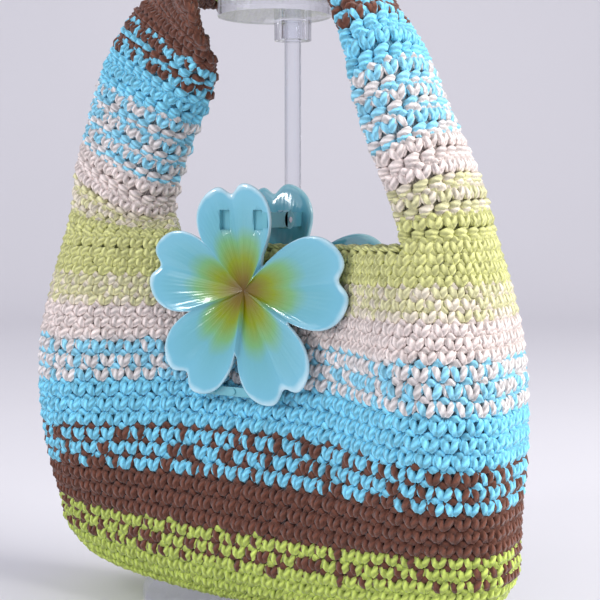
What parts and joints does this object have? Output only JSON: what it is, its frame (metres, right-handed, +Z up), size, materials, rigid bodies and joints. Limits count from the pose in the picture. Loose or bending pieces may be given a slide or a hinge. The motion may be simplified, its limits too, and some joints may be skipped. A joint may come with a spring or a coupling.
{
  "type": "crochet bag with flower claw clip on display stand",
  "caption": "Small striped crochet shoulder bag with one rolled strap, its mouth pinched by a blue flower claw clip, hanging on a clear round-based display stand.",
  "frame": {"origin": "centre of the flat underside of the stand's round base, below the post", "axes": "+Z up, the front of the bag with the flower faces -Y, +X to the right as seen from the front"},
  "size_m": [0.1952, 0.12, 0.2425],
  "materials": {
    "lime_yarn": "single crochet in lime cotton",
    "striped_yarn": "single crochet in lime, brown, sky blue, white and pale green cotton stripes",
    "strap_yarn": "single crochet in turned rows, the same stripes in reverse order",
    "pale_yarn": "slip stitch chain in pale green cotton",
    "blue_plastic": "glossy translucent light blue with a yellow green centre",
    "steel": "plain",
    "clear_acrylic": "clear, polished"
  },
  "bodies": {
    "bag_and_stand": {"bag_base": "lime_yarn", "bag_body": "striped_yarn", "strap_left": "strap_yarn", "strap_right": "strap_yarn", "rim_edging_front": "pale_yarn", "rim_edging_back": "pale_yarn", "clip_back": "blue_plastic", "clip_pin": "steel", "clip_spring": "steel", "stand_base": "clear_acrylic", "stand_post": "clear_acrylic", "stand_top": "clear_acrylic"},
    "clip_front_half": {"clip_front": "blue_plastic"}
  },
  "joints": [
    {"name": "clip_hinge", "type": "hinge", "parent": "bag_and_stand", "child": "clip_front_half", "pos_m": [0.0045, -0.0284, 0.1503], "axis": [-1, 0, 0], "range_deg": [0, 35], "stiffness_Nm_per_rad": 0.1, "springref_deg": -68.75}
  ]
}
